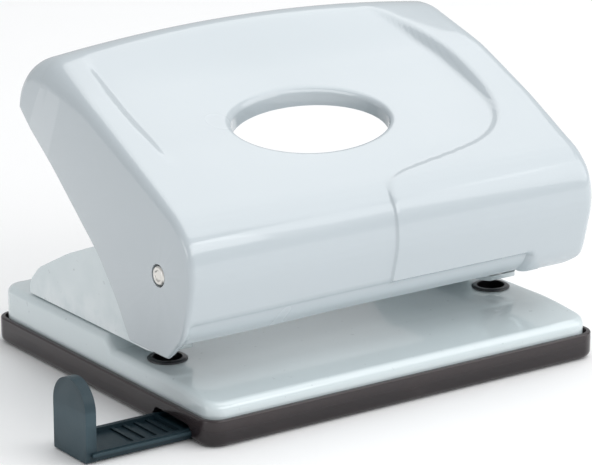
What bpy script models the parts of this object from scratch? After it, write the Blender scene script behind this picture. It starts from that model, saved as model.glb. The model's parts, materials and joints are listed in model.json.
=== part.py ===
"""Two-hole paper punch with a moulded handle, a pressed steel base and a smoked chip tray.

Frame: origin at the middle of the tray's underside, X to the right, -Y to the front (the side that
the paper goes in from), +Z up. The handle is at rest, raised by the two punch springs.
"""

import math

import bmesh
import bpy
import numpy as np

MM = 0.001
GAP = 0.3 * MM

# Driving dimensions
HOLE_SPACING = 80 * MM
PUNCH_DIAMETER = 5.5 * MM
TRAY_WIDTH = 95 * MM
TRAY_DEPTH = 81 * MM
TRAY_RIM = 5.3 * MM
TRAY_WALL = 0.9 * MM
TRAY_FLOOR = 1.2 * MM
TRAY_CORNER = 4 * MM
SHEET = 1.2 * MM
BED_TOP = 9.5 * MM
PLATFORM_TOP = 12 * MM
PAPER_STOP_Y = -2.5 * MM
EDGE_MARGIN = 12 * MM
HANDLE_WIDTH = 98 * MM
HANDLE_WALL = 1.8 * MM
HANDLE_STROKE = math.radians(23)
PIVOT_Y = -25.7 * MM
PIVOT_Z = 30.8 * MM
PIN_RADIUS = 1.9 * MM
BRACKET_WIDTH = 10 * MM
BRACKET_SHEET = 1 * MM
LEVER_OFFSET = 4.5 * MM
GUIDE_WIDTH = 11.6 * MM
GUIDE_Y = -27.5 * MM
GUIDE_REACH = 22.5 * MM

# Sizes that follow from them
PUNCH_X = HOLE_SPACING / 2
PUNCH_Y = PAPER_STOP_Y - EDGE_MARGIN
PUNCH_RADIUS = PUNCH_DIAMETER / 2
PUNCH_ARM = PUNCH_Y - PIVOT_Y
BRACKET_FLOOR = PLATFORM_TOP + GAP
WEB_TOP = BRACKET_FLOOR + BRACKET_SHEET
BASE_WIDTH = TRAY_WIDTH - 2 * (TRAY_WALL + GAP)
BASE_DEPTH = TRAY_DEPTH - 2 * (TRAY_WALL + GAP)
PUNCH_TIP = BRACKET_FLOOR + GAP
PUNCH_TOP = (
    PIVOT_Z + PUNCH_ARM * math.tan(HANDLE_STROKE) + LEVER_OFFSET / math.cos(HANDLE_STROKE) - 0.6 * MM
)
COLLAR_Z = 28 * MM
SPRING_RADIUS = 3.35 * MM
SPRING_WIRE = 0.36 * MM
SPRING_TURNS = 6.5
SIDES = {"left": -1, "right": 1}


def new_material(name, colour, roughness, metallic=0.0):
    material = bpy.data.materials.new(name)
    material.use_nodes = True
    shader = material.node_tree.nodes["Principled BSDF"]
    shader.inputs["Base Color"].default_value = (*colour, 1)
    shader.inputs["Roughness"].default_value = roughness
    shader.inputs["Metallic"].default_value = metallic
    return material


def make_object(name, mesh_data, material=None, parent=None, origin=(0, 0, 0), smooth_angle=35):
    """An object from a bmesh in world coordinates, with its own origin."""
    bmesh.ops.recalc_face_normals(mesh_data, faces=mesh_data.faces)
    bmesh.ops.translate(mesh_data, verts=mesh_data.verts, vec=[-value for value in origin])
    mesh = bpy.data.meshes.new(name)
    mesh_data.to_mesh(mesh)
    mesh_data.free()
    mesh.shade_smooth()
    mesh.set_sharp_from_angle(angle=math.radians(smooth_angle))
    obj = bpy.data.objects.new(name, mesh)
    obj.location = origin
    if material:
        mesh.materials.append(material)
    if parent:
        obj.parent = parent
        obj.location = [value - base for value, base in zip(origin, parent.location)]
    bpy.context.scene.collection.objects.link(obj)
    return obj


def new_empty(name, location):
    empty = bpy.data.objects.new(name, None)
    empty.location = location
    empty.empty_display_size = 5 * MM
    bpy.context.scene.collection.objects.link(empty)
    return empty


def combine(target, tool, operation="DIFFERENCE"):
    """A Boolean of the target with a hidden tool object."""
    tool.hide_render = True
    tool.display_type = "WIRE"
    modifier = target.modifiers.new(operation.title(), "BOOLEAN")
    modifier.operation = operation
    modifier.object = tool
    modifier.solver = "EXACT"


def rounded_outline(corners, step=math.radians(18)):
    """A closed outline from corners (u, v, fillet radius), each fillet an arc with even steps."""
    outline = []
    count = len(corners)
    for index, (u, v, radius) in enumerate(corners):
        corner = np.array((u, v))
        before = np.array(corners[index - 1][:2]) - corner
        after = np.array(corners[(index + 1) % count][:2]) - corner
        before /= np.linalg.norm(before)
        after /= np.linalg.norm(after)
        half = math.acos(float(np.clip(before @ after, -1, 1))) / 2
        if radius <= 0 or half > math.radians(88):
            outline.append(corner)
            continue
        bisector = (before + after) / np.linalg.norm(before + after)
        centre = corner + bisector * radius / math.sin(half)
        start = corner + before * radius / math.tan(half) - centre
        turn = math.pi - 2 * half
        if before[0] * after[1] - before[1] * after[0] > 0:
            turn = -turn
        steps = max(2, round(abs(turn) / step))
        for number in range(steps + 1):
            angle = turn * number / steps
            cosine, sine = math.cos(angle), math.sin(angle)
            outline.append(
                centre + (start[0] * cosine - start[1] * sine, start[0] * sine + start[1] * cosine)
            )
    return outline


def loft(rings):
    """A closed body through rings of equally many points, with its two ends capped."""
    body = bmesh.new()
    rows = [[body.verts.new(point) for point in ring] for ring in rings]
    for row, following in zip(rows, rows[1:]):
        for index in range(len(row)):
            nearby = (index + 1) % len(row)
            body.faces.new((row[index], row[nearby], following[nearby], following[index]))
    for row in (rows[0], rows[-1]):
        body.faces.new(row)
    return body


def prism_x(outline, low, high):
    """An outline in Y and Z, extruded along X."""
    return loft([[(x, y, z) for y, z in outline] for x in (low, high)])


def prism_z(outline, low, high):
    """An outline in X and Y, extruded along Z."""
    return loft([[(x, y, z) for x, y in outline] for z in (low, high)])


def box(low, high):
    body = bmesh.new()
    corners = bmesh.ops.create_cube(body, size=1)["verts"]
    for corner in corners:
        corner.co = [a + (b - a) * (value + 0.5) for a, b, value in zip(low, high, corner.co)]
    return body


def circle(centre, radius, sides, start=0.0):
    angles = [start + 2 * math.pi * number / sides for number in range(sides)]
    return [(centre[0] + radius * math.cos(a), centre[1] + radius * math.sin(a)) for a in angles]


def turned(centre, profile, sides, axis="z"):
    """A body of revolution: profile is (distance along the axis, radius) from one end to the other."""
    rings = []
    for along, radius in profile:
        if axis == "z":
            rings.append([(x, y, along) for x, y in circle(centre, radius, sides)])
        else:
            rings.append([(along, y, z) for y, z in circle(centre, radius, sides)])
    return loft(rings)


def rounded_rectangle(width, depth, corner, step=math.radians(18)):
    u, v = width / 2, depth / 2
    return rounded_outline([(-u, -v, corner), (u, -v, corner), (u, v, corner), (-u, v, corner)], step)


def mm_outline(corners, step=math.radians(18)):
    return rounded_outline([(u * MM, v * MM, radius * MM) for u, v, radius in corners], step)


def smooth_step(value, low, high):
    t = min(1.0, max(0.0, (value - low) / (high - low)))
    return t * t * (3 - 2 * t)


def build_chip_tray(material):
    """The smoked tray: a floor and a low wall, with a covered groove for the paper guide's arm."""
    bottom_round = 0.8 * MM
    rings = []
    for z, inset in ((0, bottom_round), (0.25 * MM, 0.25 * MM), (bottom_round, 0), (TRAY_RIM, 0)):
        outline = rounded_rectangle(TRAY_WIDTH - 2 * inset, TRAY_DEPTH - 2 * inset, TRAY_CORNER - inset)
        rings.append([(x, y, z) for x, y in outline])
    tray = make_object("chip_tray", loft(rings), material)

    inner_corner = TRAY_CORNER - TRAY_WALL
    inside = rounded_rectangle(TRAY_WIDTH - 2 * TRAY_WALL, TRAY_DEPTH - 2 * TRAY_WALL, inner_corner)
    hollow = make_object("tray_hollow_tool", prism_z(inside, TRAY_FLOOR, TRAY_RIM + MM))
    combine(tray, hollow)

    groove_half = GUIDE_WIDTH / 2 + GAP
    cover = box(
        (-TRAY_WIDTH / 2 + TRAY_WALL / 2, GUIDE_Y - groove_half - 1.7 * MM, TRAY_FLOOR / 2),
        (40 * MM, GUIDE_Y + groove_half + 1.7 * MM, 3.6 * MM),
    )
    combine(tray, make_object("guide_cover_tool", cover), "UNION")

    groove = mm_outline(
        [
            (-6.1, -1.0, 0), (6.1, -1.0, 0), (6.1, 0.95, 0), (6.8, 0.95, 0), (6.8, 2.15, 0),
            (6.1, 2.15, 0), (6.1, 2.5, 0), (-6.1, 2.5, 0), (-6.1, 2.15, 0), (-6.8, 2.15, 0),
            (-6.8, 0.95, 0), (-6.1, 0.95, 0),
        ]
    )
    groove = [(y + GUIDE_Y, z) for y, z in groove]
    combine(tray, make_object("guide_groove_tool", prism_x(groove, -60 * MM, 39 * MM)))

    mouth = mm_outline([(-6.8, -1.0, 0), (6.8, -1.0, 0), (6.4, 3.3, 1.2), (-6.4, 3.0, 1.2)])
    mouth = [(y + GUIDE_Y, z) for y, z in mouth]
    combine(tray, make_object("guide_mouth_tool", prism_x(mouth, -60 * MM, -45.4 * MM)))
    return tray


def base_outline(inset):
    """The base's side profile (Y, Z): skirt, sloping front, bed, paper stop and rear platform."""
    front = -BASE_DEPTH / 2 / MM + inset
    rear = BASE_DEPTH / 2 / MM - inset
    bed = BED_TOP / MM - inset
    platform = PLATFORM_TOP / MM - inset
    stop = PAPER_STOP_Y / MM + inset
    bottom = 1.6 if inset == 0 else -1.0
    edge = 2.2 - inset
    return mm_outline(
        [
            (front, bottom, 0), (front + 0.5, bed - 1.4, edge), (-23.0, bed, 40),
            (stop - 1.0, bed, 0.9), (stop + 0.6, platform, 0.9),
            (rear, platform, edge), (rear, bottom, 0),
        ]
    )


def build_base_plate(material):
    """The pressed steel base: one skin over the bed, the paper stop and the platform."""
    half = BASE_WIDTH / 2
    edge = 1.6 * MM
    profile = base_outline(0)
    rings = []
    crown = [0, 0.12, 0.5, 1.0]
    stations = [-half + edge * value for value in crown] + [half - edge * value for value in crown[::-1]]
    for x in stations:
        reach = edge - (half - abs(x))
        drop = edge - math.sqrt(max(0.0, edge**2 - max(0.0, reach) ** 2))
        lowest = 1.6 * MM
        rings.append([(x, y, z - drop * smooth_step(z, lowest, 8 * MM)) for y, z in profile])
    base = make_object("base_plate", loft(rings), material)

    corner = 3.2 * MM
    plan = rounded_rectangle(BASE_WIDTH, BASE_DEPTH, corner)
    trim = make_object("base_plan_tool", prism_z(plan, -MM, 20 * MM))
    combine(base, trim, "INTERSECT")

    inner = prism_x(base_outline(SHEET / MM), -half + SHEET, half - SHEET)
    hollow = make_object("base_hollow_tool", inner)
    inner_plan = rounded_rectangle(BASE_WIDTH - 2 * SHEET, BASE_DEPTH - 2 * SHEET, corner - SHEET)
    trim = make_object("base_hollow_plan_tool", prism_z(inner_plan, -2 * MM, 20 * MM))
    combine(hollow, trim, "INTERSECT")
    combine(base, hollow)

    reach = GUIDE_WIDTH / 2 + GAP + 2 * MM
    notch = box((-half - MM, GUIDE_Y - reach, 0), (-half + 2 * SHEET, GUIDE_Y + reach, 3.9 * MM))
    combine(base, make_object("guide_notch_tool", notch))

    for side, sign in SIDES.items():
        centre = (sign * PUNCH_X, PUNCH_Y)
        hole = prism_z(circle(centre, 4.1 * MM, 20), 5 * MM, 14 * MM)
        combine(base, make_object(f"die_hole_tool_{side}", hole))
        for label, y in RIVETS.items():
            hole = prism_z(circle((centre[0], y), 1.7 * MM, 12), 5 * MM, 16 * MM)
            combine(base, make_object(f"rivet_hole_tool_{side}_{label}", hole))
    return base


RIVETS = {"front": 3.5 * MM, "rear": 21 * MM}


def build_paper_guide(material):
    """The paper guide: a ribbed arm with edge tongues, and an upright stop with a round top."""
    half = GUIDE_WIDTH / 2
    outer = -TRAY_WIDTH / 2 - GUIDE_REACH
    thickness = 2.3 * MM
    tongue = GUIDE_WIDTH / 2 / MM + 0.65
    width = half / MM
    section = mm_outline(
        [
            (-width, 0.25, 0), (width, 0.25, 0), (width, 1.25, 0), (tongue, 1.25, 0), (tongue, 1.85, 0),
            (width, 1.85, 0), (width, 2.1, 0), (width - 1, 2.1, 0), (width - 1, 1.3, 0),
            (1 - width, 1.3, 0), (1 - width, 2.1, 0), (-width, 2.1, 0), (-width, 1.85, 0),
            (-tongue, 1.85, 0), (-tongue, 1.25, 0), (-width, 1.25, 0),
        ]
    )
    section = [(y + GUIDE_Y, z) for y, z in section]
    guide = make_object(
        "paper_guide", prism_x(section, outer + thickness / 2, 22 * MM), material, origin=(outer, GUIDE_Y, 0)
    )
    top = 15.3
    stop = mm_outline(
        [(-width, 0.05, 0.4), (width, 0.05, 0.4), (width, top, width - 0.05), (-width, top, width - 0.05)],
        math.radians(12),
    )
    stop = [(y + GUIDE_Y, z) for y, z in stop]
    rings = []
    bevel = 0.45 * MM
    for x, inset in ((0, bevel), (bevel, 0), (thickness - bevel, 0), (thickness, bevel)):
        scale_y = 1 - inset / half
        rings.append(
            [
                (outer + x, GUIDE_Y + (y - GUIDE_Y) * scale_y, z * (1 - inset / (top * MM)) + inset / 4)
                for y, z in stop
            ]
        )
    combine(guide, make_object("guide_stop_tool", loft(rings)), "UNION")
    for number in range(3):
        x = outer + thickness + (11 + 3.2 * number) * MM
        rib = box((x, GUIDE_Y - half + MM / 2, MM), (x + 0.6 * MM, GUIDE_Y + half - MM / 2, 1.75 * MM))
        combine(guide, make_object(f"guide_rib_tool_{number}", rib), "UNION")
    return guide


def handle_point(x, y, z, normal, half_width, dish=True):
    """A point of the handle's side outline carried to X, with rounded edges, crown and dish."""
    ny, nz = normal
    upper = max(0.0, nz) ** 2
    rear = smooth_step(y, -4 * MM, 21 * MM)
    radius = (1.6 + 3.4 * rear * upper) * MM
    reach = max(0.0, radius - (half_width - abs(x)))
    inset = radius - math.sqrt(max(0.0, radius**2 - reach**2))
    inset *= min(1.0, max(0.0, nz + 0.2, -ny, (ny - 0.8) * 5))
    crown = 3.4 * MM * rear * (1 - (x / half_width) ** 2)
    hollow = 0.0
    if dish:
        across = 1 - smooth_step(abs(x), 37.5 * MM, 41 * MM)
        along = smooth_step(y, -29 * MM, -22 * MM) * (1 - smooth_step(y, 8 * MM, 20 * MM))
        hollow = 1.5 * MM * across * along
    return (x, y - ny * inset, z - nz * inset + upper * (crown - hollow))


def handle_body(outline, half_width, stations):
    """The handle's outline lofted across its width."""
    points = np.array(outline)
    edges = np.roll(points, -1, axis=0) - points
    edges /= np.linalg.norm(edges, axis=1)[:, None]
    tangent = edges + np.roll(edges, 1, axis=0)
    tangent /= np.linalg.norm(tangent, axis=1)[:, None]
    normals = np.stack([-tangent[:, 1], tangent[:, 0]], axis=1)
    rings = []
    for x in stations:
        rings.append(
            [handle_point(x, y, z, normal, half_width) for (y, z), normal in zip(points, normals)]
        )
    return loft(rings)


def mirrored(stations):
    return [-value for value in stations] + [value for value in stations[::-1] if value > 0]


def divided(outline, longest):
    """The outline with long straight runs cut into shorter ones."""
    points = []
    for start, end in zip(outline, outline[1:] + outline[:1]):
        start, end = np.array(start), np.array(end)
        pieces = max(1, math.ceil(np.linalg.norm(end - start) / longest))
        points += [start + (end - start) * number / pieces for number in range(pieces)]
    return points


HANDLE_OUTLINE = [
    (-28.6, 15.0, 0.8), (-34.6, 20.4, 8), (-37.2, 32.8, 9), (-35.4, 41.0, 7), (0.0, 58.1, 60),
    (26.2, 67.4, 8.5), (25.8, 52.6, 1.5), (-3.2, 29.6, 12), (-14.6, 15.0, 1.5),
]
HANDLE_HOLLOW = [
    (-38.0, 10.0, 0), (-38.0, 18.1, 0), (-29.4, 18.1, 0), (-32.8, 21.6, 6), (-35.2, 32.6, 8),
    (-33.8, 39.2, 5), (0.0, 55.6, 50), (23.8, 63.8, 5), (23.8, 46.0, 0), (0.0, 28.0, 0), (-11.0, 10.0, 0),
]
OVAL_CENTRE_X = -3.8 * MM
OVAL_CENTRE_Y = -12 * MM
OVAL_HALF_WIDTH = 18.1 * MM
OVAL_HALF_DEPTH = 9.1 * MM


def oval_prism(grow, low, high):
    """An upright oval block over the finger hole."""
    outline = [
        (
            OVAL_CENTRE_X + (OVAL_HALF_WIDTH + grow) * math.cos(angle),
            OVAL_CENTRE_Y + (OVAL_HALF_DEPTH + grow) * math.sin(angle),
        )
        for angle in np.linspace(0, 2 * math.pi, 36, endpoint=False)
    ]
    slope = math.tan(math.radians(22.8))
    rings = []
    for level in (low, high):
        rings.append([(x, y, level + (y - OVAL_CENTRE_Y) * slope) for x, y in outline])
    return loft(rings)


def build_handle_cover(material, pivot):
    """The moulded handle: top, front and two side walls, open behind and below."""
    half = HANDLE_WIDTH / 2
    stations = mirrored([half - value * MM for value in (0, 0.25, 0.9, 1.9, 3.4, 5.2, 8, 10, 11.6, 17, 25, 33, 41, 49)])
    outline = divided(mm_outline(HANDLE_OUTLINE, math.radians(22)), 12 * MM)
    cover = make_object(
        "handle_cover", handle_body(outline, half, stations), material, pivot, (0, PIVOT_Y, PIVOT_Z), 30
    )

    inner = half - HANDLE_WALL
    stations = mirrored([inner - value * MM for value in (0, 0.4, 1.2, 3.4, 6.2, 8.2, 9.8, 15, 23, 31, 39, 47.2)])
    hollow = make_object(
        "handle_hollow_tool", handle_body(divided(mm_outline(HANDLE_HOLLOW, math.radians(30)), 14 * MM), inner, stations)
    )
    collar = make_object("oval_collar_tool", oval_prism(1.7 * MM, 46.8 * MM, 64 * MM))
    combine(hollow, collar)
    for side, sign in SIDES.items():
        boss = prism_z(circle((sign * PUNCH_X, SCREW_Y), 3 * MM, 16), BOSS_Z, 66 * MM)
        combine(hollow, make_object(f"screw_boss_tool_{side}", boss))
    combine(cover, hollow)
    arc = [(43.6 + 5.5 * math.sin(angle), 23.9 - 5.5 * math.cos(angle)) for angle in np.linspace(0, math.pi / 2, 6)]
    corner = [(52, 10), (52, 23.9)] + arc[::-1] + [(38, 18.4), (38, 10)]
    rings = [[(x * MM, y * MM, z * MM) for x, z in corner] for y in (-42, -5)]
    combine(cover, make_object("round_corner_tool", loft(rings)))
    combine(cover, make_object("oval_hole_tool", oval_prism(0, 30 * MM, 75 * MM)))
    for side, sign in SIDES.items():
        hole = prism_z(circle((sign * PUNCH_X, SCREW_Y), 1.5 * MM, 12), 40 * MM, BOSS_Z + 3.6 * MM)
        combine(cover, make_object(f"boss_hole_tool_{side}", hole))
    hole = turned((PIVOT_Y, PIVOT_Z), ((-60 * MM, 2.25 * MM), (60 * MM, 2.25 * MM)), 24, "x")
    combine(cover, make_object("pivot_hole_tool", hole))
    return cover


def web_height(y, rise):
    """Height of a line parallel to the lever's web, rise above the pivot square to the web."""
    slope = HANDLE_STROKE
    return PIVOT_Z + (y - PIVOT_Y) * math.tan(slope) + rise / math.cos(slope)


LEVER_SHEET = 1 * MM
LEVER_FRONT = -29 * MM
LEVER_REAR = 10 * MM
SCREW_Y = 3 * MM
BOSS_Z = web_height(SCREW_Y, LEVER_OFFSET + LEVER_SHEET) + 1.7 * MM


def build_lever(side, sign, material, pivot):
    """A steel channel over the bracket: two cheeks on the pin, and a web that pushes the punch."""
    outer, inner = PUNCH_X + 6.6 * MM, PUNCH_X - 6.6 * MM
    low, high = sorted((sign * inner, sign * outer))
    front, rear = LEVER_FRONT / MM, LEVER_REAR / MM
    top = LEVER_OFFSET + LEVER_SHEET
    outline = mm_outline(
        [
            (PIVOT_Y / MM - 3.4, PIVOT_Z / MM - 3.6, 3.2), (PIVOT_Y / MM + 4.0, PIVOT_Z / MM - 3.6, 3.4),
            (PUNCH_Y / MM + 4, web_height(PUNCH_Y, 0) / MM + 0.5, 4),
            (rear, web_height(LEVER_REAR, LEVER_OFFSET - 1.5 * MM) / MM, 0.8),
            (rear, web_height(LEVER_REAR, top) / MM, 0.6), (front, web_height(LEVER_FRONT, top) / MM, 0.8),
        ]
    )
    lever = make_object(
        f"lever_{side}", prism_x(outline, low, high), material, pivot, (sign * PUNCH_X, PIVOT_Y, PIVOT_Z)
    )
    under = [
        (y * MM, web_height(y * MM, LEVER_OFFSET)) for y in (front - 9, rear + 9)
    ] + [((rear + 9) * MM, 15 * MM), ((front - 9) * MM, 15 * MM)]
    hollow = prism_x(under, low + LEVER_SHEET, high - LEVER_SHEET)
    combine(lever, make_object(f"lever_hollow_tool_{side}", hollow))
    hole = turned((PIVOT_Y, PIVOT_Z), ((low - MM, PIN_RADIUS + GAP), (high + MM, PIN_RADIUS + GAP)), 16, "x")
    combine(lever, make_object(f"lever_pin_tool_{side}", hole))
    hole = prism_z(circle((sign * PUNCH_X, SCREW_Y), 1.8 * MM, 12), 35 * MM, 60 * MM)
    combine(lever, make_object(f"lever_screw_tool_{side}", hole))
    return lever


def build_cover_screw(side, sign, material, pivot):
    """A pan head screw from below, through the lever's web into the cover's boss."""
    centre = (sign * PUNCH_X, SCREW_Y)
    web_under = web_height(SCREW_Y, LEVER_OFFSET)
    head_top = web_under - 1.6 * MM
    profile = (
        (head_top - 1.6 * MM, 1.9 * MM), (head_top - 1.1 * MM, 2.6 * MM), (head_top, 2.7 * MM),
        (head_top, 1.2 * MM), (BOSS_Z + 2.6 * MM, 1.2 * MM), (BOSS_Z + 3.2 * MM, 0.6 * MM),
    )
    return make_object(
        f"cover_screw_{side}", turned(centre, profile, 16), material, pivot, (*centre, head_top)
    )


BRACKET_OUTLINE = [
    (-18.6, 0.0, 0.3), (-19.0, 6.0, 5), (-29.7, 14.8, 4), (-29.7, 22.4, 4), (-18.0, 22.4, 8),
    (3.0, 16.6, 40), (14.0, 12.2, 30), (25.6, 6.4, 10), (29.4, 2.6, 4), (29.6, 0.0, 0.3),
]


def build_bracket(side, sign, material):
    """The punch bracket: a channel with its web on the platform and its nose over the bed."""
    half = BRACKET_WIDTH / 2
    centre = sign * PUNCH_X
    floor = BRACKET_FLOOR / MM
    outline = mm_outline([(y, z + floor, radius) for y, z, radius in BRACKET_OUTLINE])
    bracket = make_object(
        f"bracket_{side}", prism_x(outline, centre - half, centre + half), material,
        origin=(centre, PUNCH_Y, BRACKET_FLOOR),
    )
    nose = mm_outline([(-5, -5, 4.9), (5, -5, 4.9), (5, 60, 0), (-5, 60, 0)], math.radians(15))
    nose = [(centre + x, PUNCH_Y + y) for x, y in nose]
    trim = make_object(f"bracket_nose_tool_{side}", prism_z(nose, BRACKET_FLOOR - MM, BRACKET_FLOOR + 7 * MM))
    upper = box(
        (centre - half - MM, -40 * MM, BRACKET_FLOOR + 6.9 * MM), (centre + half + MM, 40 * MM, 45 * MM)
    )
    combine(trim, make_object(f"bracket_upper_tool_{side}", upper), "UNION")
    combine(bracket, trim, "INTERSECT")

    inside = half - BRACKET_SHEET
    guide_low = 31.2 * MM
    guide_high = guide_low + BRACKET_SHEET
    for label, low, high in (("lower", WEB_TOP, guide_low), ("upper", guide_high, 50 * MM)):
        slot = box((centre - inside, -40 * MM, low), (centre + inside, 40 * MM, high))
        combine(bracket, make_object(f"bracket_slot_tool_{side}_{label}", slot))
    for label, low, high in (("front", -40 * MM, PUNCH_Y - 5 * MM), ("rear", PUNCH_Y + 5 * MM, 40 * MM)):
        slot = box((centre - inside, low, guide_low - MM), (centre + inside, high, guide_high + MM))
        combine(bracket, make_object(f"bracket_gap_tool_{side}_{label}", slot))

    bore = prism_z(circle((centre, PUNCH_Y), PUNCH_RADIUS + 0.15 * MM, 20), 5 * MM, 45 * MM)
    combine(bracket, make_object(f"bracket_bore_tool_{side}", bore))
    hole = turned((PIVOT_Y, PIVOT_Z), ((centre - 9 * MM, PIN_RADIUS + 0.2 * MM), (centre + 9 * MM, PIN_RADIUS + 0.2 * MM)), 16, "x")
    combine(bracket, make_object(f"bracket_pin_tool_{side}", hole))
    for label, y in RIVETS.items():
        hole = prism_z(circle((centre, y), 1.7 * MM, 12), 5 * MM, 16 * MM)
        combine(bracket, make_object(f"bracket_rivet_tool_{side}_{label}", hole))
    return bracket


def build_rivet(side, sign, label, y, material):
    """A rivet that holds the bracket's web to the platform."""
    centre = (sign * PUNCH_X, y)
    web, under = WEB_TOP + GAP, PLATFORM_TOP - SHEET - GAP
    profile = (
        (under - 1.2 * MM, 1.3 * MM), (under - 0.8 * MM, 2.2 * MM), (under, 2.4 * MM),
        (under, 1.35 * MM), (web, 1.35 * MM), (web, 2.5 * MM), (web + 0.5 * MM, 2.3 * MM),
        (web + MM, 1.2 * MM),
    )
    return make_object(f"rivet_{side}_{label}", turned(centre, profile, 12), material, origin=(*centre, web))


def build_die(side, sign, material):
    """The hardened die ring, set in the bed under the punch."""
    centre = (sign * PUNCH_X, PUNCH_Y)
    seat = BED_TOP + GAP
    profile = (
        (seat - 2.4 * MM, 3.7 * MM), (seat, 3.8 * MM), (seat, 4.3 * MM), (seat + 0.25 * MM, 4.3 * MM),
        (seat + 0.6 * MM, 3.9 * MM),
    )
    die = make_object(f"die_{side}", turned(centre, profile, 24), material, origin=(*centre, seat))
    bore = prism_z(circle(centre, PUNCH_RADIUS + 0.15 * MM, 20), 5 * MM, 14 * MM)
    combine(die, make_object(f"die_bore_tool_{side}", bore))
    return die


def build_punch(side, sign, material):
    """The punch: a round pin with a hollow-ground tip, a clip groove and a domed head."""
    centre = (sign * PUNCH_X, PUNCH_Y)
    groove = PUNCH_RADIUS - 0.5 * MM
    profile = (
        (PUNCH_TIP + 0.9 * MM, 0.3 * MM), (PUNCH_TIP, PUNCH_RADIUS - 0.1 * MM),
        (PUNCH_TIP + 0.2 * MM, PUNCH_RADIUS), (COLLAR_Z, PUNCH_RADIUS), (COLLAR_Z, groove),
        (COLLAR_Z + 0.9 * MM, groove), (COLLAR_Z + 0.9 * MM, PUNCH_RADIUS),
        (PUNCH_TOP - 1.1 * MM, PUNCH_RADIUS), (PUNCH_TOP - 0.4 * MM, 1.7 * MM),
        (PUNCH_TOP, 0.7 * MM),
    )
    return make_object(f"punch_{side}", turned(centre, profile, 20), material, origin=(*centre, PUNCH_TIP))


def build_clip(name, centre, along, axis, bore, radius, thickness, material, opening=70):
    """An E-clip: a flat ring with a gap, in the groove of a pin."""
    half_gap = math.radians(opening / 2)
    angles = np.linspace(half_gap, 2 * math.pi - half_gap, 15)
    outline = [(radius * math.cos(a), radius * math.sin(a)) for a in angles]
    outline += [(bore * math.cos(a), bore * math.sin(a)) for a in angles[::-1]]
    rings = []
    for level in (along, along + thickness):
        if axis == "z":
            rings.append([(centre[0] + u, centre[1] + v, level) for u, v in outline])
        else:
            rings.append([(level, centre[0] + u, centre[1] + v) for u, v in outline])
    return make_object(name, loft(rings), material)


def build_washer(side, sign, material):
    """The flat washer between the spring and the punch's clip."""
    centre = (sign * PUNCH_X, PUNCH_Y)
    top = COLLAR_Z - 0.25 * MM
    washer = make_object(
        f"spring_washer_{side}", prism_z(circle(centre, 3.8 * MM, 20), top - 0.6 * MM, top), material,
        origin=(*centre, top),
    )
    bore = prism_z(circle(centre, PUNCH_RADIUS + 0.15 * MM, 20), top - 2 * MM, top + 2 * MM)
    combine(washer, make_object(f"washer_bore_tool_{side}", bore))
    return washer


def build_spring(side, sign, material):
    """The return spring round the punch: a coil of wire with closed ends."""
    low = WEB_TOP + GAP + SPRING_WIRE
    high = COLLAR_Z - 0.25 * MM - 0.6 * MM - GAP - SPRING_WIRE
    wire_sides, steps_per_turn = 5, 12
    steps = round(SPRING_TURNS * steps_per_turn)
    rings = []
    for step in range(steps + 1):
        turn = step / steps_per_turn
        share = smooth_step(turn, 0.2, SPRING_TURNS - 0.2) * 0.35 + turn / SPRING_TURNS * 0.65
        angle = 2 * math.pi * turn
        ring = []
        for number in range(wire_sides):
            around = 2 * math.pi * number / wire_sides
            distance = SPRING_RADIUS + SPRING_WIRE * math.cos(around)
            ring.append(
                (
                    sign * PUNCH_X + distance * math.cos(angle),
                    PUNCH_Y + distance * math.sin(angle),
                    low + (high - low) * share + SPRING_WIRE * math.sin(around),
                )
            )
        rings.append(ring)
    return make_object(
        f"spring_{side}", loft(rings), material, origin=(sign * PUNCH_X, PUNCH_Y, low), smooth_angle=70
    )


def build_pivot_pin(side, sign, material):
    """The pivot pin, from the cover's outside to its clip inside the lever."""
    outer = sign * (HANDLE_WIDTH / 2 + 0.1 * MM)
    inner = sign * (PUNCH_X - 9.4 * MM)
    chamfer = sign * 0.35 * MM
    groove = sign * (PUNCH_X - 8.2 * MM)
    width = sign * 0.8 * MM
    profile = (
        (outer, PIN_RADIUS - 0.3 * MM), (outer - chamfer, PIN_RADIUS), (groove, PIN_RADIUS),
        (groove, PIN_RADIUS - 0.5 * MM), (groove - width, PIN_RADIUS - 0.5 * MM),
        (groove - width, PIN_RADIUS), (inner + chamfer, PIN_RADIUS), (inner, PIN_RADIUS - 0.3 * MM),
    )
    return make_object(
        f"pivot_pin_{side}", turned((PIVOT_Y, PIVOT_Z), profile, 20, "x"), material,
        origin=(outer, PIVOT_Y, PIVOT_Z),
    )


def build_side(side, sign, materials, pivot):
    """Everything that the punch has once on each side."""
    build_bracket(side, sign, materials["paint"])
    build_lever(side, sign, materials["steel"], pivot)
    build_cover_screw(side, sign, materials["zinc"], pivot)
    build_pivot_pin(side, sign, materials["steel"])
    build_punch(side, sign, materials["tool_steel"])
    build_spring(side, sign, materials["spring_steel"])
    build_washer(side, sign, materials["zinc"])
    build_die(side, sign, materials["tool_steel"])
    groove = PUNCH_RADIUS - 0.5 * MM
    build_clip(
        f"punch_clip_{side}", (sign * PUNCH_X, PUNCH_Y), COLLAR_Z + 0.15 * MM, "z",
        groove + 0.12 * MM, 3.7 * MM, 0.6 * MM, materials["zinc"],
    )
    low = min(sign * (PUNCH_X - 8.3 * MM), sign * (PUNCH_X - 8.9 * MM))
    build_clip(
        f"pin_clip_{side}", (PIVOT_Y, PIVOT_Z), low, "x",
        PIN_RADIUS - 0.38 * MM, 3.2 * MM, 0.6 * MM, materials["zinc"],
    )
    for label, y in RIVETS.items():
        build_rivet(side, sign, label, y, materials["zinc"])


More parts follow.
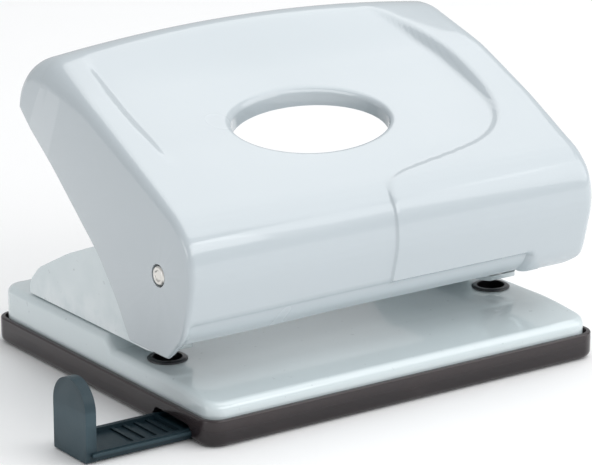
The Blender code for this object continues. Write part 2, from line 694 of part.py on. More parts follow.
def main():
    for obj in list(bpy.data.objects):
        bpy.data.objects.remove(obj)
    materials = {
        "cover": new_material("glossy_grey_blue_plastic", (0.62, 0.70, 0.75), 0.22),
        "paint": new_material("grey_blue_enamel", (0.60, 0.68, 0.71), 0.28),
        "smoke": new_material("smoked_plastic", (0.075, 0.055, 0.052), 0.18),
        "guide": new_material("dark_teal_plastic", (0.045, 0.085, 0.105), 0.38),
        "steel": new_material("zinc_plated_sheet", (0.62, 0.63, 0.64), 0.32, 1.0),
        "zinc": new_material("bright_zinc", (0.70, 0.70, 0.68), 0.28, 1.0),
        "tool_steel": new_material("hardened_steel", (0.46, 0.46, 0.47), 0.24, 1.0),
        "spring_steel": new_material("spring_steel", (0.38, 0.38, 0.39), 0.30, 1.0),
    }
    pivot = new_empty("handle_pivot", (0, PIVOT_Y, PIVOT_Z))
    build_chip_tray(materials["smoke"])
    build_base_plate(materials["paint"])
    build_paper_guide(materials["guide"])
    build_handle_cover(materials["cover"], pivot)
    for side, sign in SIDES.items():
        build_side(side, sign, materials, pivot)


main()
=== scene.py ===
"""Looks of a two-hole paper punch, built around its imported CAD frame."""

import json
import math

import bmesh
import bpy
import numpy as np
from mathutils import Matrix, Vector


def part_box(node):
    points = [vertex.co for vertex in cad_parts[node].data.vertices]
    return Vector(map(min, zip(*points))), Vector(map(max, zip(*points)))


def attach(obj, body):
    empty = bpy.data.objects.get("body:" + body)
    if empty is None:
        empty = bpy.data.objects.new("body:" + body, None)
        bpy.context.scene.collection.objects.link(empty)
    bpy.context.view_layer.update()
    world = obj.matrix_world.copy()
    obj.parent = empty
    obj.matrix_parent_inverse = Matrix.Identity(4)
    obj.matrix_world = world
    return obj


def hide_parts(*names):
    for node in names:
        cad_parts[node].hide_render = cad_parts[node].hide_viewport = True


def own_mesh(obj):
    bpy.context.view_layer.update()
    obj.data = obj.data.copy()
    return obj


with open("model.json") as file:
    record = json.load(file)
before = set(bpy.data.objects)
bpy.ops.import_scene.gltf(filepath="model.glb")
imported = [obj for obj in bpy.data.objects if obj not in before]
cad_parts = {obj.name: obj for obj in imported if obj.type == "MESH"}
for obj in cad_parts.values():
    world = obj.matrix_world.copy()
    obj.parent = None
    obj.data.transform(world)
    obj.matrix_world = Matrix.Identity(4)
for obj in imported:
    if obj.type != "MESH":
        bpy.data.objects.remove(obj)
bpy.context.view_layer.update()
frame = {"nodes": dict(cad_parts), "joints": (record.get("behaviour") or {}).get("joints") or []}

MM = 0.001


def centre_of(node):
    low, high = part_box(node)
    return (low + high) / 2


def heights_of(node):
    return [corner.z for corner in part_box(node)]


# Sizes read from the frame
HINGE = next(joint for joint in frame["joints"] if joint["name"] == "handle_hinge")
_, PIVOT_Y, PIVOT_Z = HINGE["pos_m"]
HANDLE_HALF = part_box("handle_cover")[1].x
BASE_LOW, BASE_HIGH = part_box("base_plate")
TRAY_LOW, TRAY_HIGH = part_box("chip_tray")
GUIDE_LOW, GUIDE_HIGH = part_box("paper_guide")
GUIDE_Y = (GUIDE_HIGH.y + GUIDE_LOW.y) / 2
PUNCH_X = centre_of("punch_right").x
PUNCH_Y = centre_of("punch_right").y
PUNCH_RADIUS = (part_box("punch_right")[1].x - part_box("punch_right")[0].x) / 2
PLATFORM_TOP = BASE_HIGH.z
BRACKET_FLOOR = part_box("bracket_right")[0].z
RIVET_Y = {label: centre_of(f"rivet_right_{label}").y for label in ("front", "rear")}
SCREW_Y = centre_of("cover_screw_right").y
SIDES = {"left": -1, "right": 1}

# Sizes of the looks
HANDLE_WALL = 1.8 * MM
OVAL_X = -3.8 * MM
OVAL_Y = -12.0 * MM
OVAL_HALF_WIDTH = 18.1 * MM
OVAL_HALF_DEPTH = 9.1 * MM
OVAL_RIM = 1.2 * MM
SHEET = 1.2 * MM
BED_TOP = 9.5 * MM
TRAY_WALL = 0.9 * MM
TRAY_FLOOR = 1.2 * MM
TRAY_CORNER = 4 * MM
DIE_HOLE = 3.9 * MM
RIVET_HOLE = 1.5 * MM

# A turned profile's ends lie almost on its axis, so that every ring has as many points.
ON_AXIS = 0.0001 * MM
# The angles of the rings that carry a skin round an edge
EDGE_TURNS = np.radians([12, 24, 36, 48, 60, 72, 82, 90])


# -------- meshes


def smooth_step(value, low, high):
    t = np.clip((value - low) / (high - low), 0, 1)
    return t * t * (3 - 2 * t)


def new_object(name, vertices, faces):
    mesh = bpy.data.meshes.new(name)
    mesh.from_pydata([tuple(map(float, point)) for point in vertices], [], faces)
    mesh.validate()
    body = bmesh.new()
    body.from_mesh(mesh)
    bmesh.ops.remove_doubles(body, verts=body.verts, dist=1e-7)
    bmesh.ops.recalc_face_normals(body, faces=body.faces)
    body.to_mesh(mesh)
    body.free()
    obj = bpy.data.objects.new(name, mesh)
    bpy.context.scene.collection.objects.link(obj)
    return obj


def baked(obj):
    """The object with its modifiers applied."""
    graph = bpy.context.evaluated_depsgraph_get()
    mesh = bpy.data.meshes.new_from_object(obj.evaluated_get(graph))
    old = obj.data
    obj.modifiers.clear()
    obj.data = mesh
    bpy.data.meshes.remove(old)
    return obj


def combine(target, tool, operation="DIFFERENCE"):
    modifier = target.modifiers.new(operation, "BOOLEAN")
    modifier.operation = operation
    modifier.object = tool
    modifier.solver = "EXACT"
    baked(target)
    mesh = tool.data
    bpy.data.objects.remove(tool)
    bpy.data.meshes.remove(mesh)
    return target


def bevelled(obj, width, segments=2, angle=40):
    modifier = obj.modifiers.new("edges", "BEVEL")
    modifier.width = width
    modifier.segments = segments
    modifier.limit_method = "ANGLE"
    modifier.angle_limit = math.radians(angle)
    return baked(obj)


def cleaned(obj):
    """The mesh with near-coincident corners merged and flat slivers taken out."""
    form = bmesh.new()
    form.from_mesh(obj.data)
    bmesh.ops.remove_doubles(form, verts=form.verts, dist=0.004 * MM)
    bmesh.ops.triangulate(form, faces=[face for face in form.faces if len(face.verts) > 4])
    bmesh.ops.dissolve_degenerate(form, edges=form.edges, dist=0.002 * MM)
    form.to_mesh(obj.data)
    form.free()
    return obj


def shaded(obj, angle=35):
    obj.data.shade_smooth()
    obj.data.set_sharp_from_angle(angle=math.radians(angle))
    return obj


def dressed(obj, material, body, replaces=(), angle=35):
    """A finished piece: shading, its material, the body it rides on and the nodes it replaces."""
    shaded(cleaned(obj), angle)
    obj.data.materials.clear()
    obj.data.materials.append(material)
    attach(obj, body)
    if replaces:
        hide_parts(*replaces)
    return obj


def rounded_outline(corners, step=math.radians(9)):
    """A closed outline from corners (u, v, fillet radius), each fillet an arc with even steps."""
    outline = []
    count = len(corners)
    for index, (u, v, radius) in enumerate(corners):
        corner = np.array((u, v), float)
        before = np.array(corners[index - 1][:2]) - corner
        after = np.array(corners[(index + 1) % count][:2]) - corner
        before /= np.linalg.norm(before)
        after /= np.linalg.norm(after)
        half = math.acos(float(np.clip(before @ after, -1, 1))) / 2
        if radius <= 0 or half > math.radians(89):
            outline.append(corner)
            continue
        bisector = (before + after) / np.linalg.norm(before + after)
        centre = corner + bisector * radius / math.sin(half)
        start = corner + before * radius / math.tan(half) - centre
        turn = math.pi - 2 * half
        if before[0] * after[1] - before[1] * after[0] > 0:
            turn = -turn
        steps = max(3, round(abs(turn) / step))
        for angle in np.linspace(0, turn, steps + 1):
            cosine, sine = math.cos(angle), math.sin(angle)
            outline.append(
                centre + (start[0] * cosine - start[1] * sine, start[0] * sine + start[1] * cosine)
            )
    return np.array(outline)


def mm_outline(corners, step=math.radians(9)):
    return rounded_outline([(u * MM, v * MM, radius * MM) for u, v, radius in corners], step)


def divided(outline, longest):
    """The outline with long straight runs cut into even shorter ones."""
    points = []
    for start, end in zip(outline, np.roll(outline, -1, axis=0)):
        pieces = max(1, math.ceil(np.linalg.norm(end - start) / longest))
        points += [start + (end - start) * number / pieces for number in range(pieces)]
    return np.array(points)


def stitched(first, second):
    """Quads between two rings of equally many vertex numbers."""
    count = len(first)
    return [
        (first[k], first[(k + 1) % count], second[(k + 1) % count], second[k])
        for k in range(count)
    ]


def add_ring(vertices, faces, previous, points):
    """Adds a ring of points, stitched to the ring before it, and returns its vertex numbers."""
    current = range(len(vertices), len(vertices) + len(previous))
    vertices.extend(points)
    faces.extend(stitched(previous, current))
    return current


def loft(name, rings):
    """A closed body through rings of equally many points, with its two ends capped."""
    count = len(rings[0])
    vertices, faces = list(rings[0]), []
    previous = range(count)
    for ring in rings[1:]:
        previous = add_ring(vertices, faces, previous, ring)
    faces += [tuple(range(count)), tuple(previous)]
    return new_object(name, vertices, faces)


def prism_x(name, outline, low, high):
    return loft(name, [[(x, y, z) for y, z in outline] for x in (low, high)])


def prism_z(name, outline, low, high):
    return loft(name, [[(x, y, z) for x, y in outline] for z in (low, high)])


def block(name, low, high):
    outline = [(low[0], low[1]), (high[0], low[1]), (high[0], high[1]), (low[0], high[1])]
    return prism_z(name, outline, low[2], high[2])


def circle(centre, radius, sides=48):
    angles = np.linspace(0, 2 * math.pi, sides, endpoint=False)
    return [(centre[0] + radius * math.cos(a), centre[1] + radius * math.sin(a)) for a in angles]


def drill(target, centre, radius, low, high, sides):
    """An upright round hole."""
    combine(target, prism_z("hole", circle(centre, radius, sides), low, high))


def turned(name, centre, profile, axis="z", sides=48):
    """A body of revolution: profile is (distance along the axis, radius) from one end to the other."""
    rings = []
    for along, radius in profile:
        if axis == "z":
            rings.append([(x, y, along) for x, y in circle(centre, radius, sides)])
        else:
            rings.append([(along, y, z) for y, z in circle(centre, radius, sides)])
    return loft(name, rings)


def rounded_edges(profile, radius, steps=4):
    """A turned profile with its corners rounded off."""
    points = [np.array(point, float) for point in profile]
    result = [points[0]]
    for before, corner, after in zip(points, points[1:], points[2:]):
        first, second = before - corner, after - corner
        reach = min(radius, np.linalg.norm(first) / 2.2, np.linalg.norm(second) / 2.2)
        start = corner + first / np.linalg.norm(first) * reach
        end = corner + second / np.linalg.norm(second) * reach
        for t in np.linspace(0, 1, steps + 1):
            result.append((1 - t) ** 2 * start + 2 * t * (1 - t) * corner + t**2 * end)
    return result + [points[-1]]


def rounded_rectangle(width, depth, corner, step=math.radians(9)):
    u, v = width / 2, depth / 2
    return rounded_outline([(-u, -v, corner), (u, -v, corner), (u, v, corner), (-u, v, corner)], step)


# -------- materials


class Shader:
    """A Principled material that is built up node by node, in object coordinates."""

    def __init__(self, name, colour, roughness, metallic=0.0, **sockets):
        self.material = bpy.data.materials.new(name)
        self.material.use_nodes = True
        self.tree = self.material.node_tree
        self.surface = self.tree.nodes["Principled BSDF"]
        self.coordinates = self.tree.nodes.new("ShaderNodeTexCoord").outputs["Object"]
        self.height = None
        self.colour = colour
        self.surface.inputs["Base Color"].default_value = (*colour, 1)
        self.surface.inputs["Roughness"].default_value = roughness
        self.surface.inputs["Metallic"].default_value = metallic
        for socket, value in sockets.items():
            self.surface.inputs[socket.replace("_", " ")].default_value = value

    def scaled(self, stretch):
        if stretch == (1, 1, 1):
            return self.coordinates
        mapping = self.tree.nodes.new("ShaderNodeMapping")
        mapping.inputs["Scale"].default_value = stretch
        self.tree.links.new(self.coordinates, mapping.inputs["Vector"])
        return mapping.outputs["Vector"]

    def noise(self, scale, detail=3.0, stretch=(1, 1, 1), distortion=0.0):
        texture = self.tree.nodes.new("ShaderNodeTexNoise")
        texture.inputs["Scale"].default_value = scale
        texture.inputs["Detail"].default_value = detail
        texture.inputs["Distortion"].default_value = distortion
        self.tree.links.new(self.scaled(stretch), texture.inputs["Vector"])
        return texture.outputs["Fac"]

    def cells(self, scale):
        texture = self.tree.nodes.new("ShaderNodeTexVoronoi")
        texture.inputs["Scale"].default_value = scale
        self.tree.links.new(self.coordinates, texture.inputs["Vector"])
        return texture.outputs["Distance"]

    def mapped(self, source, low, high, to_low, to_high):
        node = self.tree.nodes.new("ShaderNodeMapRange")
        node.inputs["From Min"].default_value = low
        node.inputs["From Max"].default_value = high
        node.inputs["To Min"].default_value = to_low
        node.inputs["To Max"].default_value = to_high
        self.tree.links.new(source, node.inputs["Value"])
        return node.outputs["Result"]

    def part_of(self, axis):
        node = self.tree.nodes.new("ShaderNodeSeparateXYZ")
        self.tree.links.new(self.coordinates, node.inputs["Vector"])
        return node.outputs[axis]

    def pointiness(self):
        return self.tree.nodes.new("ShaderNodeNewGeometry").outputs["Pointiness"]

    def times(self, first, second):
        node = self.tree.nodes.new("ShaderNodeMath")
        node.operation = "MULTIPLY"
        self.tree.links.new(first, node.inputs[0])
        self.tree.links.new(second, node.inputs[1])
        return node.outputs["Value"]

    def tint(self, share, colour):
        """Moves the colour so far towards another, by a share from 0 to 1."""
        mix = self.tree.nodes.new("ShaderNodeMix")
        mix.data_type = "RGBA"
        base = self.surface.inputs["Base Color"]
        if base.is_linked:
            self.tree.links.new(base.links[0].from_socket, mix.inputs["A"])
        else:
            mix.inputs["A"].default_value = (*self.colour, 1)
        mix.inputs["B"].default_value = (*colour, 1)
        self.tree.links.new(share, mix.inputs["Factor"])
        self.tree.links.new(mix.outputs["Result"], base)
        return self

    def stain_and_painted_light(self, source, low, high, share, colour):
        """Another colour, up to a share of it, where the source passes from low to high: used for real
        stains and tone, and for painted light.
        """
        return self.tint(self.mapped(source, low, high, 0.0, share), colour)

    def mottled(self, share, low, high):
        """Roughness that varies between two values."""
        varied = self.mapped(share, 0.0, 1.0, low, high)
        self.tree.links.new(varied, self.surface.inputs["Roughness"])
        return self

    def bumped(self, height, distance, strength=1.0):
        node = self.tree.nodes.new("ShaderNodeBump")
        node.inputs["Distance"].default_value = distance
        node.inputs["Strength"].default_value = strength
        self.tree.links.new(height, node.inputs["Height"])
        if self.height is not None:
            self.tree.links.new(self.height, node.inputs["Normal"])
        self.height = node.outputs["Normal"]
        self.tree.links.new(self.height, self.surface.inputs["Normal"])
        return self


def glossy_cover():
    shader = Shader(
        "glossy_cover_plastic", (0.50, 0.553, 0.583), 0.24, Coat_Weight=0.8, Coat_Roughness=0.05
    )
    shader.tint(shader.noise(14, 0, (1, 0.5, 0.5)), (0.485, 0.54, 0.575))
    # Painted highlight: sharp convex edges are painted lighter.
    shader.stain_and_painted_light(shader.pointiness(), 0.56, 0.66, 0.4, (0.62, 0.67, 0.70))
    shader.mottled(shader.noise(60, 1), 0.17, 0.31)
    shader.bumped(shader.noise(380, 1), 0.00002, 0.3)
    return shader.bumped(shader.noise(1400, 2), 0.000002, 0.3).material


def enamel():
    shader = Shader(
        "grey_blue_enamel", (0.66, 0.735, 0.755), 0.20, Coat_Weight=1.0, Coat_Roughness=0.04
    )
    shader.tint(shader.noise(30, 1), (0.62, 0.70, 0.72))
    worn = shader.mapped(shader.pointiness(), 0.53, 0.62, 0.0, 0.5)
    patches = shader.mapped(shader.noise(140, 4), 0.42, 0.6, 0.0, 1.0)
    shader.tint(shader.times(worn, patches), (0.86, 0.90, 0.91))
    shader.stain_and_painted_light(shader.noise(620, 2), 0.70, 0.76, 0.35, (0.30, 0.34, 0.37))
    shader.mottled(shader.noise(70, 1), 0.12, 0.30)
    return shader.bumped(shader.noise(380, 1), 0.00003, 0.4).material


def smoked_plastic():
    shader = Shader(
        "smoked_plastic", (0.017, 0.012, 0.0135), 0.16, Transmission_Weight=0.12, IOR=1.5,
        Specular_IOR_Level=0.35, Coat_Weight=0.12,
    )
    # Painted light: the tray is painted lighter towards its top, where light passes through the wall,
    # and darker towards the bottom.
    shader.stain_and_painted_light(shader.part_of("Z"), 0.0022, 0.0050, 0.75, (0.050, 0.040, 0.042))
    # Lighter mottling, stretched into horizontal streaks.
    streaks = shader.noise(45, 4, (1, 1, 3), 0.8)
    shader.stain_and_painted_light(streaks, 0.45, 0.75, 0.35, (0.050, 0.036, 0.036))
    shader.mottled(shader.noise(160, 5), 0.12, 0.32)
    shader.bumped(shader.noise(55, 2, (1, 1, 24)), 0.00005, 0.25)
    return shader.bumped(shader.noise(900, 2), 0.00002, 0.3).material


def guide_plastic():
    shader = Shader("grey_teal_plastic", (0.0085, 0.022, 0.030), 0.26, Specular_IOR_Level=0.28)
    shader.stain_and_painted_light(shader.noise(60, 5), 0.45, 0.75, 0.5, (0.014, 0.030, 0.038))
    # Painted highlight: sharp convex edges are painted much lighter.
    shader.stain_and_painted_light(shader.pointiness(), 0.53, 0.64, 0.7, (0.06, 0.10, 0.12))
    shader.mottled(shader.noise(200, 4), 0.30, 0.52)
    return shader.bumped(shader.noise(2300, 3), 0.00003, 0.6).material


def zinc_sheet():
    shader = Shader("zinc_plated_sheet", (0.62, 0.63, 0.64), 0.3, 1.0)
    shader.stain_and_painted_light(shader.cells(260), 0.2, 0.75, 0.55, (0.48, 0.50, 0.52))
    shader.stain_and_painted_light(shader.noise(60, 4), 0.5, 0.72, 0.35, (0.60, 0.57, 0.50))
    shader.mottled(shader.noise(120, 5), 0.24, 0.42)
    return shader.bumped(shader.noise(500, 4, (1, 9, 1)), 0.00003, 0.5).material


def bright_zinc():
    shader = Shader("bright_zinc", (0.70, 0.70, 0.69), 0.26, 1.0)
    shader.stain_and_painted_light(shader.noise(300, 4), 0.45, 0.7, 0.4, (0.56, 0.55, 0.50))
    shader.mottled(shader.noise(400, 4), 0.20, 0.38)
    return shader.bumped(shader.noise(1500, 3), 0.00002, 0.4).material


def pin_steel():
    shader = Shader("bright_pin_steel", (0.80, 0.78, 0.74), 0.28, 1.0)
    shader.stain_and_painted_light(shader.noise(700, 3), 0.45, 0.7, 0.35, (0.62, 0.60, 0.57))
    shader.mottled(shader.noise(900, 3), 0.22, 0.40)
    return shader.bumped(shader.noise(700, 2, (40, 1, 1)), 0.00001, 0.5).material


def hardened_steel():
    shader = Shader("hardened_steel", (0.47, 0.47, 0.48), 0.22, 1.0)
    shader.stain_and_painted_light(shader.noise(180, 4), 0.5, 0.72, 0.4, (0.36, 0.34, 0.32))
    shader.mottled(shader.noise(260, 3, (1, 1, 12)), 0.16, 0.34)
    return shader.bumped(shader.noise(500, 2, (1, 1, 30)), 0.00001, 0.7).material


# Steel for the dies, with painted shade: its colour is darkened nearly to black so that the die rings
# read as the shade under the handle's tips.
def steel_painted_as_shade():
    shader = Shader("steel_painted_dark_as_shade", (0.10, 0.10, 0.105), 0.30, 1.0)
    shader.stain_and_painted_light(shader.noise(420, 2), 0.4, 0.7, 0.5, (0.16, 0.155, 0.15))
    shader.mottled(shader.noise(600, 2), 0.22, 0.40)
    return shader.bumped(shader.noise(1500, 2), 0.00001, 0.4).material


def spring_steel():
    shader = Shader("spring_steel", (0.40, 0.40, 0.41), 0.3, 1.0)
    shader.stain_and_painted_light(shader.noise(500, 3), 0.45, 0.7, 0.5, (0.26, 0.25, 0.25))
    shader.mottled(shader.noise(900, 3), 0.22, 0.42)
    return shader.bumped(shader.noise(2500, 2, (1, 1, 6)), 0.00001, 0.5).material


def floor_material():
    shader = Shader("pale_floor", (0.97, 0.97, 0.97), 0.6)
    shader.mottled(shader.noise(20, 3), 0.55, 0.65)
    return shader.bumped(shader.noise(600, 2), 0.00002, 0.2).material


# -------- handle cover

COVER_OUTLINE = [
    (-28.6, 15.0, 0.8), (-34.4, 20.4, 8), (-37.2, 31.5, 14), (-36.3, 38.0, 9.5), (-32.4, 42.5, 14),
    (-25.0, 46.3, 30), (0.0, 58.3, 80), (26.4, 67.6, 9.5), (25.8, 52.6, 1.2),
    (13.0, 43.4, 60), (-4.0, 29.4, 22), (-10.4, 22.0, 22), (-15.0, 15.0, 1.2),
]
COVER_HOLLOW = [
    (-38.0, 10.0, 0), (-38.0, 18.2, 0), (-30.4, 18.2, 0.3), (-32.9, 21.8, 6), (-35.2, 32.0, 12),
    (-34.4, 38.2, 6.5), (-26.2, 43.3, 18), (0.0, 56.0, 80), (23.6, 64.0, 6), (23.6, 46.0, 0),
    (0.0, 27.5, 0), (-11.0, 10.0, 0),
]
CROWN = 3.6 * MM
FOLD_Z = 23.2 * MM
BAND_END_X = 34.5 * MM
BAND_DEPTH = 0.7 * MM
STEP_DEPTH = 0.42 * MM
DISH_DEPTH = 1.9 * MM
LEFT_DEPTH = 0.9 * MM
# Y places where the sunken top starts, reaches its depth and runs out again
STEP_FRONT_Y = -27 * MM
LEFT_FRONT_Y = -21 * MM
DISH_FULL_Y = -3 * MM
FALL_START_Y = 3 * MM
FALL_END_Y = 19 * MM
# The front side of the outline lies below the first height, and the top above the second.
FRONT_BELOW_Z = 40 * MM
TOP_ABOVE_Z = 36 * MM
# Half sizes of the block that the well's rings fill in the grid of the top
WELL_BLOCK = (23 * MM, 13.4 * MM)
SLOPE_START = 0.25 * MM
SLOPE_SHARE = 1.15
RIGHT_BORDER = [
    (-0.4, -32.5), (3.5, -30.6), (11, -29.2), (20, -27.9), (29, -26), (34.8, -22.6), (38.2, -18),
    (39.6, -12.5), (39.8, -6), (38.9, 1), (36.4, 7), (32.5, 11.5), (28, 16), (22, 22),
]
LEFT_BORDER = [
    (-38, 24), (-40, 17), (-41.4, 9), (-42.2, 1), (-42.1, -6), (-41.5, -12), (-40.5, -19), (-38, -30),
]


class CoverSurface:
    """The cover's outer skin: a side outline carried across the width, with all of its relief."""

    def __init__(self, outline, half_width, relief=True):
        self.points = np.array(outline)
        self.half_width = half_width
        self.relief = relief
        edges = np.roll(self.points, -1, axis=0) - self.points
        lengths = np.linalg.norm(edges, axis=1)
        edges /= lengths[:, None]
        tangent = edges + np.roll(edges, 1, axis=0)
        tangent /= np.linalg.norm(tangent, axis=1)[:, None]
        self.normals = np.stack([-tangent[:, 1], tangent[:, 0]], axis=1)
        self.s = np.concatenate([[0], np.cumsum(lengths)[:-1]])
        top = int(np.argmax(self.points[:, 1]))
        self.rear = self.s[top]
        self.low_rear = self.s[int(np.argmax(self.points[:, 0] - self.points[:, 1] * 0.3))]
        self.curves = self.relief_curves() if relief else []

    def s_at_y(self, y):
        upper = (self.s <= self.rear) & (self.points[:, 1] > TOP_ABOVE_Z)
        return np.interp(y, self.points[upper, 0], self.s[upper])

    def s_at_z(self, z):
        front = (self.s <= self.rear) & (self.points[:, 1] < FRONT_BELOW_Z)
        return np.interp(z, self.points[front, 1], self.s[front])

    def relief_curves(self):
        """The borders of the sunken top as (x, s), with the sunken side on their left."""
        right = [(-0.8 * MM, float(self.s_at_z(z * MM))) for z in (14, 20, 28, 36)]
        right += [(x * MM, float(self.s_at_y(y * MM))) for x, y in RIGHT_BORDER]
        left = [(x * MM, float(self.s_at_y(y * MM))) for x, y in LEFT_BORDER]
        return [self.softened(right), self.softened(left)]

    @staticmethod
    def softened(points):
        """A smooth curve near the points, by cutting corners three times."""
        points = np.array(points)
        for _ in range(3):
            first = points[:-1] * 0.75 + points[1:] * 0.25
            second = points[:-1] * 0.25 + points[1:] * 0.75
            middle = np.stack([first, second], axis=1).reshape(-1, points.shape[1])
            points = np.concatenate([points[:1], middle, points[-1:]])
        return points

    def floor_depth(self, x, s):
        """The sunken floor's depth. It runs out at the rear and, on the left, at the front too."""
        middle = self.s_at_y(DISH_FULL_Y)
        fall = 1 - smooth_step(s, self.s_at_y(FALL_START_Y), self.s_at_y(FALL_END_Y))
        dish = (DISH_DEPTH - STEP_DEPTH) * smooth_step(s, self.s_at_y(STEP_FRONT_Y), middle)
        right = (STEP_DEPTH + dish) * fall
        left = LEFT_DEPTH * smooth_step(s, self.s_at_y(LEFT_FRONT_Y), middle) * fall
        share = smooth_step(x, -39 * MM, -4 * MM)
        return left + (right - left) * share

    def sunk(self, x, s):
        """How deep the skin lies below its outline: the floor, with a slope inside each border."""
        depth = self.floor_depth(x, s)
        result = depth
        for curve in self.curves:
            start, end = curve[:-1], curve[1:]
            run = end - start
            length = (run**2).sum(axis=1)
            away = np.stack([x, s], axis=-1)[:, None, :] - start[None]
            t = np.clip((away * run).sum(axis=2) / length, 0, 1)
            distance = np.linalg.norm(away - t[..., None] * run, axis=2)
            nearest = distance.argmin(axis=1)
            rows = np.arange(len(x))
            near_run, near_away = run[nearest], away[rows, nearest]
            side = near_run[:, 0] * near_away[:, 1] - near_run[:, 1] * near_away[:, 0]
            inward = np.where(side > 0, distance[rows, nearest], 0)
            slope = smooth_step(inward, 0, SLOPE_START + SLOPE_SHARE * depth)
            result = result * np.maximum(slope, self.band(x, s) / BAND_DEPTH)
        return result

    def at(self, x, s):
        """Points of the skin for arrays of x and s."""
        x, s = np.broadcast_arrays(np.asarray(x, float), np.asarray(s, float))
        shape = x.shape
        x, s = x.ravel(), s.ravel()
        total = self.s[-1] + np.linalg.norm(self.points[0] - self.points[-1])
        along = np.append(self.s, total)
        (y, z), normal = (
            [np.interp(s, along, np.append(known[:, k], known[0, k])) for k in (0, 1)]
            for known in (self.points, self.normals)
        )
        rear = smooth_step(y, -4 * MM, 21 * MM)
        upper = np.maximum(0.0, normal[1]) ** 1.5 * (s <= self.rear + 9 * MM)
        radius = self.edge_radius(s, total) + self.right_front(x, s)
        reach = np.maximum(0.0, radius - (self.half_width - np.abs(x)))
        offset = radius - np.sqrt(np.maximum(0.0, radius**2 - reach**2))
        offset = offset + self.band(x, s)
        if self.relief:
            offset = offset + self.sunk(x, s)
        crown = CROWN * rear * (1 - (x / self.half_width) ** 2) * upper
        result = np.stack([x, y - normal[0] * offset, z - normal[1] * offset + crown], axis=-1)
        return result.reshape(*shape, 3)

    def edge_radius(self, s, total):
        marks = [
            0, self.s_at_z(20 * MM), self.s_at_z(30 * MM), self.s_at_y(-28 * MM), self.s_at_y(0),
            self.rear, self.low_rear, self.low_rear + 6 * MM, total,
        ]
        radii = [0.5, 1.0, 1.1, 1.8, 2.6, 5.0, 1.4, 0.4, 0.4]
        return np.interp(s, marks, np.array(radii) * MM)

    def right_front(self, x, s):
        """The softer edge of the front's right end."""
        if not self.relief:
            return 0.0
        start, end = self.s_at_z(17 * MM), self.s_at_z(22 * MM)
        out = smooth_step(s, self.s_at_y(-30 * MM), self.s_at_y(-14 * MM))
        fade = smooth_step(s, start, end) * (1 - out)
        return np.where(x > 0, 1.4 * MM * fade, 0.0)

    def band(self, x, s):
        """The set-back strip along the front's lower edge, with a round end on the right."""
        if not self.relief:
            return 0.0
        fold = self.s_at_z(FOLD_Z)
        corner = 1.6 * MM
        from_side = BAND_END_X - x
        from_fold = fold - s
        near = np.minimum(from_side, from_fold)
        both = (from_side < corner) & (from_fold < corner)
        rounded = corner - np.hypot(corner - from_side, corner - from_fold)
        inside = np.where(both, rounded, near)
        left = smooth_step(x, -self.half_width, -self.half_width + 2.5 * MM)
        return BAND_DEPTH * smooth_step(inside, 0, 0.8 * MM) * left


def cover_body(name, skin, stations, well=False):
    """A closed body of the skin across the stations, with a round-edged well in its top or none."""
    count = len(skin.points)
    grid = skin.at(np.array(stations)[:, None], skin.s[None, :])
    vertices = [point for row in grid for point in row]
    skip = set()
    if well:
        columns = [k for k, x in enumerate(stations) if abs(x - OVAL_X) <= WELL_BLOCK[0]]
        rows = [
            k for k, (y, _) in enumerate(skin.points)
            if abs(y - OVAL_Y) <= WELL_BLOCK[1] and skin.s[k] < skin.rear
        ]
        skip = {(i, j) for i in columns[:-1] for j in rows[:-1]}
    faces = []
    for i in range(len(stations) - 1):
        here, there = i * count, (i + 1) * count
        for j in range(count):
            if (i, j) not in skip:
                nearby = (j + 1) % count
                faces.append((here + j, here + nearby, there + nearby, there + j))
    last = (len(stations) - 1) * count
    faces += [tuple(range(count)), tuple(range(last, last + count))]
    if well:
        add_well(skin, stations, columns, rows, count, vertices, faces)
    return new_object(name, vertices, faces)


def add_well(skin, stations, columns, rows, count, vertices, faces):
    """Fills the block left in the grid with rings that close in on the oval and turn down."""
    loop = [(i, rows[0]) for i in columns[:-1]] + [(columns[-1], j) for j in rows[:-1]]
    loop += [(i, rows[-1]) for i in columns[:0:-1]] + [(columns[0], j) for j in rows[:0:-1]]
    x = np.array([stations[i] for i, _ in loop])
    s = skin.s[[j for _, j in loop]]
    middle = float(skin.s_at_y(OVAL_Y))
    slope = float(skin.s_at_y(OVAL_Y + MM) - skin.s_at_y(OVAL_Y - MM)) / (2 * MM)
    a, b = OVAL_HALF_WIDTH, OVAL_HALF_DEPTH * slope
    angle = np.arctan2((s - middle) / b, (x - OVAL_X) / a)

    def ellipse(grow):
        return OVAL_X + (a + grow) * np.cos(angle), middle + (b + grow) * np.sin(angle)

    edge = ellipse(OVAL_RIM)
    rings = [
        skin.at(x + (edge[0] - x) * t, s + (edge[1] - s) * t)
        for t in (0.22, 0.42, 0.6, 0.76, 0.9, 1.0)
    ]
    for turn in EDGE_TURNS:
        ring = skin.at(*ellipse(OVAL_RIM * (1 - math.sin(turn))))
        rings.append(ring - (0, 0, OVAL_RIM * (1 - math.cos(turn))))
    wall = skin.at(*ellipse(0))
    rings += [wall - (0, 0, depth) for depth in (3.0 * MM, 9.0 * MM)]
    previous = [i * count + j for i, j in loop]
    for ring in rings:
        previous = add_ring(vertices, faces, previous, ring)
    faces.append(tuple(previous))


def cover_stations(half_width, fine, spacing):
    """Places across the width, closer together near the sides."""
    edges = [half_width - value * MM for value in fine]
    inner = edges[-1]
    even = list(np.linspace(0, inner, max(2, round(inner / spacing)) + 1))[1:-1]
    right = even + edges[::-1]
    return [-value for value in right[::-1]] + [0.0] + right


def oval_block(name, grow, low, high):
    """The oval as a block whose ends slope as the top does."""
    slope = math.tan(math.radians(22.4))
    width, depth = OVAL_HALF_WIDTH + grow, OVAL_HALF_DEPTH + grow
    outline = [
        (OVAL_X + width * math.cos(a), OVAL_Y + depth * math.sin(a))
        for a in np.linspace(0, 2 * math.pi, 96, endpoint=False)
    ]
    return loft(name, [[(x, y, z + (y - OVAL_Y) * slope) for x, y in outline] for z in (low, high)])


